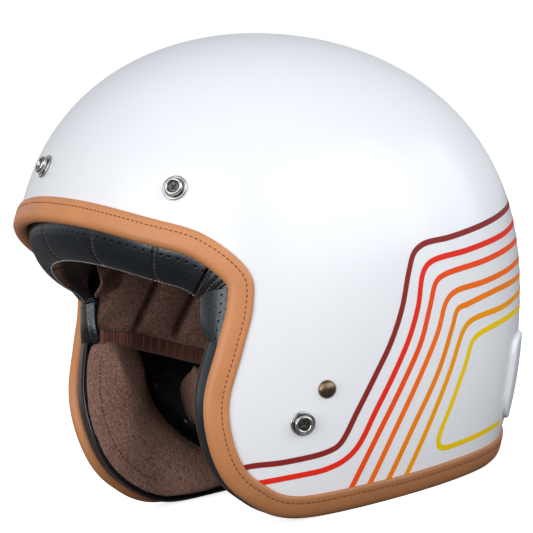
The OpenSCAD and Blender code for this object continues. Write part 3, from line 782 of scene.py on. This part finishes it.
def add_rear_panel():
    """A shallow moulded panel: flat top, chamfered edge."""
    pole = direction(180, PANEL_MIDDLE)
    flat = panel_rim(0.975)
    rows = [on_shell(slerp(np.broadcast_to(pole, flat.shape), flat, s), -PANEL_T)
            for s in np.linspace(0.05, 1, 22)]
    for shrink, depth in ((0.985, -1.8), (0.994, -1.1), (1.0, -0.1), (1.0, 0.2)):
        rows.append(on_shell(panel_rim(shrink), depth))
    rows = np.array(rows)
    n, cols = rows.shape[:2]
    points = np.vstack([rows.reshape(-1, 3), on_shell(pole, -PANEL_T)[None]])
    faces = grid_faces(n, cols, False, True)
    faces += [(n * cols, (j + 1) % cols, j) for j in range(cols)]
    faces.append(tuple((n - 1) * cols + j for j in range(cols)))
    panel = outwards(make_mesh("rear_panel_skin", stand(points), faces))
    finish_piece(panel, SHELL_WHITE, "shell_gloss", "rear_panel", angle=60)


STRIPES = [
    ("maroon", srgb(144, 44, 40),
     [(62, -38.8), (66, -38.1), (75, -37.4), (86, -35.3), (89, -33.6), (92.6, -26.6), (96.4, -18.6),
      (99.7, -11.3), (102.1, -3.6), (103.7, 4.9), (105.1, 9), (107.7, 11), (115.7, 12.7), (125, 14.9),
      (148, 20.3), (164, 23.2), (180, 24.2)]),
    ("red", srgb(240, 48, 30),
     [(64, -41.9), (68, -41.5), (77.7, -40.3), (86, -38.9), (91, -36.8), (94, -33.9), (97.5, -26.4),
      (101.2, -18.4), (104.5, -10.3), (106.5, -3), (107.6, 4.5), (109.6, 7), (121.5, 10), (138.4, 13.9),
      (150, 16.7), (165, 19.4), (180, 20.4)]),
    ("vermilion", srgb(248, 84, 28),
     [(93.2, -44.6), (94.1, -42.6), (98.6, -32.3), (104, -20.3), (107.9, -11), (109.9, -2.8), (111.4, 2.6),
      (113.5, 4.2), (128, 7.9), (148.7, 12.7), (165, 15.5), (180, 16.5)]),
    ("orange", srgb(253, 114, 26),
     [(98.5, -43.4), (99.4, -41.4), (103.5, -30.8), (108.8, -18.1), (112.7, -8.4), (114.6, -1.8),
      (117, 0.5), (128, 3.3), (149, 8.4), (165, 11.4), (180, 12.4)]),
    ("tangerine", srgb(250, 134, 16),
     [(104.2, -42), (105, -40), (108.7, -29.9), (114, -17.2), (117, -7.3), (118.5, -3.2), (121.5, -2),
      (132, 1.3), (149.6, 5.1), (165, 7.8), (180, 8.8)]),
    ("amber", srgb(252, 160, 4),
     [(109.8, -40.5), (110.5, -38.5), (114, -27.9), (117.7, -17), (120.7, -8), (123, -5.7), (137, -1.9),
      (149.4, 1.4), (165, 4), (180, 5)]),
    ("yellow", srgb(252, 208, 0),
     [(147.4, -26.3), (135.5, -29.3), (126, -31.9), (120.6, -33.1), (118.6, -32.6), (118.1, -30.6),
      (120, -23.8), (123, -14.3), (124.2, -10.3), (126, -8.7), (137.4, -4.9), (150, -1.9), (165, 0.6),
      (180, 1.4)]),
]
STRIPE_HALF = 1.5
STRIPE_LIFT = 0.12


def stripe_ribbon(name, points, mat):
    path = smooth_path([(az, el, 0) for az, el in points], 14)
    d = direction(path[:, 0], path[:, 1])
    along = evenly(on_shell(d), step=1.6)
    d = unit(along)
    tangent = unit(np.gradient(along, axis=0))
    across = np.cross(shell_normal(d), tangent)
    rows = [on_shell(along + across * STRIPE_HALF * k, -STRIPE_LIFT) for k in (-1, 0, 1)]
    ribbon = grid_object(name, np.array(rows).transpose(1, 0, 2), wrap_cols=False)
    finish_piece(ribbon, mat, "shell_gloss")


def add_stripes():
    for name, colour, points in STRIPES:
        mat = gloss_paint("paint_" + name, colour, 0.05, 0.0, 0.15)
        stripe_ribbon("stripe_" + name, points + [(360 - az, el) for az, el in points[-2::-1]], mat)


# --- edge trim

TRIM_OUTLINE = [
    (0.05, -0.1), (0.7, -0.35), (1.35, 0.1), (1.75, 1.2), (1.95, 2.6), (1.82, 3.3), (1.98, 4.0),
    (2.2, 6), (2.3, 8.2), (2.0, 10.2), (0.9, 11.9), (-0.8, 12.75), (-2.6, 12.8), (-4.4, 12.1),
    (-5.7, 10.7), (-6.2, 8.6), (-6.2, 5), (-6.1, 2), (-5.7, 0.2), (-5.0, 0.4), (-4.8, 4),
    (-4.8, 9.2), (0.1, 9.2), (0.1, 4),
]
STITCH_LINE = (1.86, 3.3)


def add_trim():
    us = np.arange(0, LAP, 1 / 14)
    trim = grid_object("trim_leather_band", seam_rings(us, TRIM_OUTLINE), wrap_rows=True)
    finish_piece(trim, TRIM, "trim_leather", "edge_trim")
    row = stitches("trim_stitches", off_seam(us, *STITCH_LINE), 2.75, 2.0, 0.33, closed=True, sink=0.05)
    finish_piece(row, BROWN_THREAD, "trim_leather")


# --- fasteners

SNAP_R = 6.4
STUD_R = 4.7
POST_R = 2.0


def add_snaps():
    r = SNAP_R
    flange = [(3.0, 0.05), (r - 0.5, 0.05), (r, 0.35), (r + 0.02, 0.7), (r - 0.35, 1.05),
              (r - 0.9, 1.08), (r - 1.4, 0.8), (r - 1.7, 0.62), (3.0, 0.62)]
    r = STUD_R
    stud = [(2.3, 0.6), (r - 0.5, 0.7), (r - 0.15, 1.0), (r, 1.5), (r - 0.12, 2.2), (r, 3.0),
            (r - 0.1, 3.5), (r - 0.5, 3.92), (r - 1.0, 4.0), (r - 1.45, 3.82), (r - 1.7, 3.4),
            (r - 1.8, 2.4), (2.3, 2.2)]
    post = [(3.2, -6.3), (3.2, -5.7), (POST_R, -5.6), (POST_R, 2.2), (2.7, 2.35), (2.6, 2.75),
            (1.6, 2.95), (0.7, 2.6), (0.25, 2.45)]
    prong = [(0.5, 2.6), (1.2, 3.05), (1.9, 2.8), (2.3, 2.45)]
    dome = [(4.7, 0.0), (4.72, 0.3), (4.55, 0.62), (4.1, 1.15), (3.4, 1.7), (2.4, 2.2), (1.3, 2.5),
            (0.4, 2.6)]
    rings = lathe("snap_flange_rings", SNAPS, flange)
    finish_piece(rings, NICKEL, "snap_metal", "snap_flanges", angle=70)
    studs = lathe("snap_stud_rings", SNAPS, stud)
    finish_piece(studs, NICKEL, "snap_metal", "snap_studs", angle=70)
    posts = lathe("snap_post_rivets", SNAPS, post, 48)
    finish_piece(posts, DARK_NICKEL, "snap_metal", "snap_posts", angle=60)
    prongs = []
    for az, el in SNAPS:
        d = direction(az, el)
        n = shell_normal(d)
        for out in circle(*tangents(n), 4, 45):
            path = smooth_path([on_shell(d) + n * h + out * r for r, h in prong], 4)
            prongs.append(tube("prong", evenly(path, count=8), 0.36))
    finish_piece(join("snap_post_prongs", prongs), DARK_NICKEL, "snap_metal")
    finish_piece(lathe("rivet_domes", RIVETS, dome), BRONZE, "rivet_bronze", angle=60)


def join(name, parts):
    """Joins separate meshes into one object."""
    points, faces = [], []
    for part in parts:
        base = len(points)
        points += [tuple(v.co) for v in part.data.vertices]
        faces += [tuple(base + i for i in f.vertices) for f in part.data.polygons]
        bpy.data.objects.remove(part)
    return make_mesh(name, points, faces)


# --- linings

RIB_PITCH, RIB_START, RIB_SLANT = 17.0, 54.5, 0.5
RIB_DEPTH = 7.5


def quilt(depth, d, s):
    """Sewn channels of the comfort liner. The pile never sinks into the foam behind it."""
    az, el = angles(d)
    phase = ((np.abs(az) - RIB_SLANT * el - RIB_START) / RIB_PITCH) % 1.0
    groove = np.exp(-((np.minimum(phase, 1 - phase) * RIB_PITCH / 1.5) ** 2))
    pillow = 1 - np.sin(np.pi * phase) ** 0.6
    fade = np.clip((62 - el) / 25, 0, 1)
    edge = np.clip((1 - s) / 0.06, 0, 1)
    least = COMFORT_TOP + 0.8 - 9 * ease((4 - el) / 6)
    return np.maximum(depth - RIB_DEPTH * (0.55 * groove + 0.45 * pillow) * fade * edge, least)


def liner_rim(az, el):
    """Depths of the two faces of the comfort liner at its rim. Beside the temple pads the
    rim is thin and lies nearer the shell."""
    tucked = ease((62 - np.abs(az)) / 10) * ease((5 - el) / 7)
    full = ease((np.abs(az) - 58) / 30)
    outer = COMFORT_TOP + 0.2 - 9 * tucked
    return outer, outer + 1 + (COMFORT_BASE - COMFORT_TOP - 3.4) * full


def add_liners():
    us = np.arange(0, 2 * (len(COMFORT_LINE) - 1), 1 / 14)
    az, el = lap_at(COMFORT_LINE, us)
    d = direction(az, el)
    outer, inner = liner_rim((az + 180) % 360 - 180, el)
    liner = patch_object("crown_fleece", CROWN_POLE, on_shell(d, outer), on_shell(d, inner),
                         80, COMFORT_TOP + 0.2, COMFORT_BASE, relief=quilt, crown=10, lid=14, wall=4)
    finish_piece(liner, FLEECE, "fleece_brown", "crown_liner")

    last = len(COMFORT_LINE) - 1
    us = np.linspace(6.35, 2 * last - 6.35, 640)
    az, el = lap_at(COMFORT_LINE, us)
    tops, _ = liner_rim((az + 180) % 360 - 180, el)
    w = np.radians(np.arange(0, 360, 18))
    c, v = np.cos(w), np.sin(w)
    az, el, tops = az[:, None], el[:, None], tops[:, None]
    height = el - 0.5 * (HEM_DROP + 0.4 - (HEM_DROP + 0.2) * np.copysign(np.abs(v) ** 0.5, v))
    gather = 0.25 * np.sin(az * 5.3 + 3 * np.sin(az * 1.7) + 1.5 * v) * (c > 0)
    depth = tops + 3.0 + 1.9 * np.copysign(np.abs(c) ** 0.8, c) + gather
    rings = on_shell(direction(az, height), depth)
    hem = grid_object("hem_band", rounded_ends(rings, 1.0))
    finish_piece(hem, HEM, "satin_brown", "liner_hem")


def section_curve(points, per=5):
    return smooth_path([(n, o, 0) for n, o in points], per, closed=True)[:, :2]


BROW_DROP, BROW_DEPTH = 15.0, 37


def roll_section(drop, depth):
    """The padded roll: it comes out from behind the trim and slopes down and inwards."""
    return section_curve([
        (-6.9, 2), (-6.9, 8), (-7.2, 12.2), (-9.4, 12.9 + drop * 0.3), (-13.5, 12.9 + drop * 0.68),
        (-18.5, 12.9 + drop * 0.93), (-22.6, 12.9 + drop), (-24.4, 12.9 + drop * 0.95),
        (-28, 12.9 + drop * 0.8), (3 - depth, 12.9 + drop * 0.4), (-depth, 10), (-depth, 4),
        (-depth + 4, 1.5), (-20, 0),
    ])


BROW_SEAMS = (-2.1, -1.1, -0.02, 1.1, 2.1)


def scaled(section, k):
    mid = section.mean(0)
    return mid + (section - mid) * k


def seam_across(u, section, reach, pitch, length, lift=(0, 0)):
    """Stitches across a roll, where it shows beyond the trim."""
    n, o = section.T
    run = section[(n > reach) & (n < -7) & (o > 11.5)] + lift
    return stitches("seam", seam_rings([u], run)[0], pitch, length, 0.22)


def seam_dip(us, places, width):
    """How far a sewn seam pulls the surface in, for each u."""
    near = np.min(np.abs(us[:, None] - np.asarray(places)[None]), axis=1)
    return np.exp(-(near / width) ** 2)


def add_brow_pad():
    half = 3.3
    us = np.linspace(-half, half, 260)
    dip = seam_dip(us, BROW_SEAMS, 0.035)
    sections = []
    for u, k in zip(us, dip):
        s = roll_section(BROW_DROP, min(BROW_DEPTH, BROW_DEPTH - 6 * (abs(u) - 1.8)))
        sections.append(scaled(s, 1 - 0.045 * k))
    pad = grid_object("brow_roll", rounded_ends(seam_rings(us, np.array(sections)), 1.2))
    finish_piece(pad, LEATHERETTE, BLACK, "brow_pad")
    edge = stitches("brow_edge_stitches", off_seam(us, -23.3, 12.8 + BROW_DROP), 2.0, 1.5, 0.42)
    finish_piece(edge, PALE_THREAD, BLACK)
    sunk = scaled(roll_section(BROW_DROP, BROW_DEPTH), 0.962)
    parts = [seam_across(u, sunk, -24, 2.3, 1.7) for u in BROW_SEAMS]
    finish_piece(join("brow_seam_stitches", parts), TAN_THREAD, BLACK)


TAB_DEPTH = 28
TEMPLE_FROM, TEMPLE_TO = 3.96, 6.02


def temple_drop(t):
    """How far the temple pad hangs past the trim, from its top at t = 0 to its foot."""
    return 13.6 - 2.0 * t ** 2 - 6.5 * t ** 9


def temple_section(t):
    return roll_section(temple_drop(t), 29 + 4 * ease(t / 0.3) - 5 * t)


def add_side_rolls(side, name):
    """The corner tab and the temple pad beside it."""
    tab_us = np.linspace(3.36, 3.88, 44)
    drops = np.linspace(14.6, 13, 44)
    dip = seam_dip(tab_us, (3.45, 3.62, 3.8), 0.025)
    sections = [scaled(roll_section(drop, TAB_DEPTH), 1 - 0.04 * k) for drop, k in zip(drops, dip)]
    rings = rounded_ends(seam_rings(side * tab_us, np.array(sections)), 0.8)
    tab = grid_object(f"corner_tab_{name}_skin", rings)
    finish_piece(tab, PLAIN_BLACK, BLACK, "corner_tab_" + name)
    parts = [seam_across(side * u, roll_section(drop, TAB_DEPTH), -25, 2.2, 1.6, (0.1, 0.15))
             for u, drop in ((3.42, 14.4), (3.62, 13.8), (3.82, 13.2))]
    finish_piece(join("corner_stitches_" + name, parts), TAN_THREAD, BLACK)

    us = np.linspace(TEMPLE_FROM, TEMPLE_TO, 100)
    t = (us - TEMPLE_FROM) / (TEMPLE_TO - TEMPLE_FROM)
    rings = seam_rings(side * us, np.array([temple_section(k) for k in t]))
    temple = grid_object(f"temple_pad_{name}_skin", rounded_ends(rings, 2.5))
    finish_piece(temple, LEATHERETTE, BLACK, "temple_pad_" + name)
    edge = off_seam(side * us, -23.4, 12.7 + temple_drop(t))
    sewn = stitches("temple_stitches_" + name, edge, 2.1, 1.5, 0.2)
    finish_piece(sewn, TAN_THREAD, BLACK)


# --- cheek pads

CHEEK_POLE = unit([86, -46, -80])
BORDER_FROM, BORDER_TO = 6.0, 10.8
BORDER_SECTION = [
    (-6.9, 3), (-6.9, 9), (-7.1, 12.3), (-9.2, 14.3), (-12.6, 16.3), (-15.8, 17.4), (-17.1, 17.0),
    (-16.6, 14.6), (-15, 10), (-13, 5), (-11, 2.6),
]
PAD_FREE_INNER = [
    (72, 2, -108), (75, 16, -104), (78, 22, -97), (80, 12, -91), (81, -4, -84), (80, -18, -75),
    (79, -29, -66), (80, -33, -52), (81, -34, -37), (78, -43, -29.5), (71, -58, -29),
]
PAD_FREE_OUTER = [
    (94, 2, -99), (95, 14, -96), (97, 20, -91), (99, 12, -85), (101, -4, -78), (102, -16, -70),
    (103, -24, -62), (104, -28, -52), (105, -30, -40), (106, -36, -32), (104, -46, -30),
]
PAD_EDGE_OUTER, PAD_EDGE_INNER = (-14.6, 2), (-18.4, 17.6)
PAD_FRONT = (6.1, 7, 7.7, 8.3, 8.9, 9.4, 9.9)
PIPING_LINE, PIPING_R = (-15.8, 17.65), 0.5
RIM_ROUNDING = 24
PAD_CROWN = 3.2
SEAM_LAST = 56


def pad_rim(n, o, free, per=10):
    rim = smooth_path(np.vstack([off_seam(PAD_FRONT, n, o), free]), per, closed=True)
    for _ in range(RIM_ROUNDING):
        rim = (np.roll(rim, 1, 0) + 2 * rim + np.roll(rim, -1, 0)) / 4
    return rim


CLOTH_FRAMES = 16


def mirror_mesh(obj, name):
    copy = obj.copy()
    copy.data = obj.data.copy()
    copy.name = name
    bpy.context.scene.collection.objects.link(copy)
    copy.data.transform(Matrix.Scale(-1, 4, Vector((1, 0, 0))))
    copy.data.flip_normals()
    return copy


def apply_modifier(obj, kind, **settings):
    mod = obj.modifiers.new(kind.lower(), kind)
    for key, value in settings.items():
        setattr(mod, key, value)
    bpy.context.view_layer.objects.active = obj
    bpy.ops.object.modifier_apply(modifier=mod.name)


def inflate(obj, pinned, voxel, rounds, pressure, limit):
    """Remeshes a closed pad evenly and swells it with a short cloth simulation. The
    vertices for which pinned(place) holds stay on the plate they are sewn to."""
    apply_modifier(obj, "REMESH", mode="VOXEL", voxel_size=voxel)
    apply_modifier(obj, "SMOOTH", factor=0.5, iterations=rounds)
    start = np.array([v.co[:] for v in obj.data.vertices])
    held = obj.vertex_groups.new(name="held")
    held.add([int(i) for i in np.flatnonzero(pinned(start))], 1.0, "REPLACE")
    cloth = obj.modifiers.new("cloth", "CLOTH")
    cloth.settings.vertex_group_mass = held.name
    cloth.settings.use_pressure = True
    cloth.settings.uniform_pressure_force = pressure
    cloth.settings.effector_weights.gravity = 0
    cloth.settings.quality = 5
    cloth.point_cache.frame_start, cloth.point_cache.frame_end = 1, CLOTH_FRAMES
    for k in range(1, CLOTH_FRAMES + 1):
        bpy.context.scene.frame_set(k)
    settled = obj.evaluated_get(bpy.context.evaluated_depsgraph_get())
    move = np.array([v.co[:] for v in settled.data.vertices]) - start
    obj.modifiers.remove(cloth)
    bpy.context.scene.frame_set(1)
    size = np.linalg.norm(move, axis=1, keepdims=True) + 1e-9
    obj.data.vertices.foreach_set("co", (start + move * np.minimum(1, limit / size)).ravel())
    apply_modifier(obj, "SUBSURF", levels=1)
    obj.data.polygons.foreach_set("use_smooth", [True] * len(obj.data.polygons))
    return obj


def laid_on(obj, path, sink):
    """A path moved onto the surface of a mesh; path in the helmet's frame, and returned so."""
    mesh = obj.data
    faces = [f.vertices[:] for f in mesh.polygons]
    tree = BVHTree.FromPolygons([v.co[:] for v in mesh.vertices], faces)
    hits = [tree.find_nearest(Vector(place))[:2] for place in stand(path)]
    return lie(np.array([hit - normal * sink for hit, normal in hits]))


def seam_on_pad(s):
    """The sewn line of the cheek pad, at share s of the way from its pole to its rim."""
    rim = pad_rim(*PAD_EDGE_INNER, PAD_FREE_INNER)
    line = slerp(np.broadcast_to(CHEEK_POLE, rim.shape), unit(rim), s)
    return on_shell(line, CHEEK_BASE + (depth_of(rim) - CHEEK_BASE) * s ** PAD_CROWN)[:SEAM_LAST]


def add_cheek_pads():
    outer = pad_rim(*PAD_EDGE_OUTER, PAD_FREE_OUTER)
    inner = pad_rim(*PAD_EDGE_INNER, PAD_FREE_INNER)
    left = patch_object("cheek_cushion_left", CHEEK_POLE, outer, inner, 60, CHEEK_TOP, CHEEK_BASE,
                        crown=PAD_CROWN, wall=9, swell=0.24)
    inflate(left, lambda p: depth_of(lie(p)) < CHEEK_TOP + 5, 0.0026, 9, 1.6, 0.0022)
    right = mirror_mesh(left, "cheek_cushion_right")
    seam = laid_on(left, seam_on_pad(0.87), 0.0001)
    sewn = stitches("cheek_seam_left", seam, 2.3, 1.9, 0.34)
    finish_piece(mirror_mesh(sewn, "cheek_seam_right"), DARK_THREAD, "fleece_brown")
    finish_piece(sewn, DARK_THREAD, "fleece_brown")
    for pad, name in ((left, "left"), (right, "right")):
        finish_piece(pad, FLEECE, "fleece_brown", "cheek_pad_" + name)
    us = np.linspace(BORDER_FROM, BORDER_TO, 150)
    for side, name in ((1, "left"), (-1, "right")):
        rings = rounded_ends(seam_rings(side * us, section_curve(BORDER_SECTION)), 1.0)
        border = grid_object(f"cheek_border_{name}_skin", rings)
        finish_piece(border, PLAIN_BLACK, BLACK, "cheek_border_" + name)
        piping = tube("cheek_piping_" + name, off_seam(side * us, *PIPING_LINE), PIPING_R)
        finish_piece(piping, PIPING, BLACK)


# --- neck pad

NECK_FROM = 10.64
NECK_LEAD = 6.0


def neck_low(u):
    return min(9.0, -18 + (u - NECK_FROM) * 40)


def neck_ring(u):
    """One ring of the neck pad, at u counted from the front on either side."""
    half = u if u <= LAST_SEAM else LAP - u
    p, n, o = (a[0] for a in seam_frames([u]))
    lead = NECK_LEAD * max(0, 1 - (half - NECK_FROM) / 0.9)
    az = math.degrees(math.atan2(p[0], -p[1]))
    az -= math.copysign(lead, az)
    flank = abs(az)
    top = np.interp(flank, *np.transpose(COMFORT_LINE[7:])) - HEM_DROP - 2
    rear = min(1, max(0, (half - 11.2) / 0.8))
    out = -15 + (15 - 7.4) * rear
    low = neck_low(half)
    under = min(np.interp(flank, *np.transpose(IMPACT_LINE)) - 2.5, top - 1.5)
    return np.array([
        on_shell(direction(az, top), 37.6), on_shell(direction(az, top - 0.3), 34.2),
        on_shell(direction(az, under), -out), p + out * n + (low - 4) * o,
        p + (-18 + 6 * rear) * n + low * o, p - 28 * n + (low + 1) * o,
        p - 36 * n + (low - 3) * o, p - 38.6 * n + (low - 9) * o,
    ])


def add_neck_pad():
    us = np.linspace(NECK_FROM, LAP - NECK_FROM, 170)
    fine = np.array([smooth_path(neck_ring(u), 5, closed=True) for u in us])
    pad = grid_object("neck_cushion", rounded_ends(fine, 2.0))
    finish_piece(pad, FLEECE, "fleece_brown", "neck_pad")
    sections = []
    us = np.linspace(NECK_FROM - 0.22, LAP - NECK_FROM + 0.22, 180)
    w = np.radians(np.arange(0, 360, 22.5))
    for u in us:
        low = neck_low(u if u <= LAST_SEAM else LAP - u)
        sections.append(np.stack([-26 + 5.6 * np.cos(w), low + 4.2 + 3.0 * np.sin(w)], -1))
    roll = grid_object("neck_roll_skin", rounded_ends(seam_rings(us, np.array(sections)), 2.5))
    finish_piece(roll, PLAIN_BLACK, BLACK, "neck_roll")


# --- retention

STRAP_START = [(84.2, -22.2, 7.9), (88.5, -25, 7.9), (94, -28.5, 8), (99.5, -31.8, 8.6)]
STRAP_EXIT = [(11.02, -14, -27), (11.12, -21, -24), (11.17, -30, -22), (11.18, -46.5, -20)]
WEB_W, WEB_T = 20.0, 2.0
HINGE = np.array([0.0, 30.0, -62.0])
TUCK = math.radians(60)
HALF_SPAN, STRAP_DROP, SWING_POWER = 68.0, 72.0, 2.35
BAR_X, TONGUE_BAR_X, LOOP_R = 19.0, -24.0, 3.5


def strap_place(p):
    """From the strap's own plane (X across, Y away from the hinge) to the helmet's frame."""
    return tilted(p, TUCK) + HINGE


def strap_curve(t):
    c, s = np.cos(t), np.sin(t)
    return np.stack([np.sign(c) * HALF_SPAN * np.abs(c) ** (2 / SWING_POWER),
                     STRAP_DROP * np.clip(s, 0, 1) ** (2 / SWING_POWER)], -1)


def curve_angle(x):
    return math.acos((x / HALF_SPAN) ** (SWING_POWER / 2))


def web_section():
    """Cross-section of flat webbing: width, thickness, with rounded edges."""
    w, t = WEB_W / 2, WEB_T / 2
    half = [(-w, 0), (-w + 0.5, t * 0.9), (-w + 2, t), (0, t), (w - 2, t), (w - 0.5, t * 0.9)]
    return section_curve(half + [(-a, -b) for a, b in half], 3)


def web_rings(path, across, out):
    section = web_section()
    return path[:, None] + section[:, :1] * across[..., None, :] + section[:, 1:] * out[:, None]


def add_straps():
    for side, name in ((1, "left"), (-1, "right")):
        mids = [on_shell(direction(a, e), dep) for a, e, dep in STRAP_START]
        mids += [off_seam(u, n, o)[0] for u, n, o in STRAP_EXIT]
        path = evenly(smooth_path(mids, 8), count=60)
        run = unit(np.gradient(path, axis=0))
        out = unit(path - (path * run).sum(1, keepdims=True) * run)
        rings = web_rings(path, np.cross(run, out), out) * (side, 1, 1)
        strap = grid_object("anchor_web_" + name, rings)
        finish_piece(strap, WEBBING, "webbing_black", "anchor_strap_" + name)

    up = np.array([0, 0, 1.0])
    w = np.radians(np.arange(0, 360, 15))
    for name, start, end in (("left", 0.0, curve_angle(BAR_X)),
                             ("right", math.pi, math.pi - curve_angle(-TONGUE_BAR_X))):
        flat = strap_curve(np.linspace(start, end, 90))
        path = evenly(np.column_stack([flat, np.zeros(len(flat))]), count=70)
        out = np.cross(up, unit(np.gradient(path, axis=0)))
        strap = grid_object("chin_web_" + name, strap_place(web_rings(path, up, out)))
        finish_piece(strap, WEBBING, "webbing_black", "chin_strap_" + name, body="chin_strap")
        x, y, _ = path[-1]
        loop = [np.stack([x + LOOP_R * np.cos(w), y + LOOP_R * np.sin(w), np.full(len(w), z)], -1)
                for z in np.linspace(-WEB_W / 2, WEB_W / 2, 12)]
        wrap = grid_object("chin_web_loop_" + name, strap_place(np.array(loop)))
        finish_piece(wrap, WEBBING, "webbing_black", body="chin_strap")


def dress_cad_nodes():
    for mat, nodes in (
        (STEEL, "snap_washers rivet_washers buckle_frame buckle_tongue lever_pin lever_spring"),
        (BLACK_PLASTIC, "cheek_plate_left cheek_plate_right pad_studs"),
        (DARK_NICKEL, "strap_rivets"), (FOAM, "impact_liner"), (LEVER_RED, "buckle_lever"),
    ):
        for node in nodes.split():
            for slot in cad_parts[node].material_slots:
                slot.material = mat


# --- build

add_camera()
add_stage()
add_shell()
add_rear_panel()
add_stripes()
add_trim()
add_snaps()
add_liners()
add_brow_pad()
add_side_rolls(1, "left")
add_side_rolls(-1, "right")
add_cheek_pads()
add_neck_pad()
add_straps()
dress_cad_nodes()
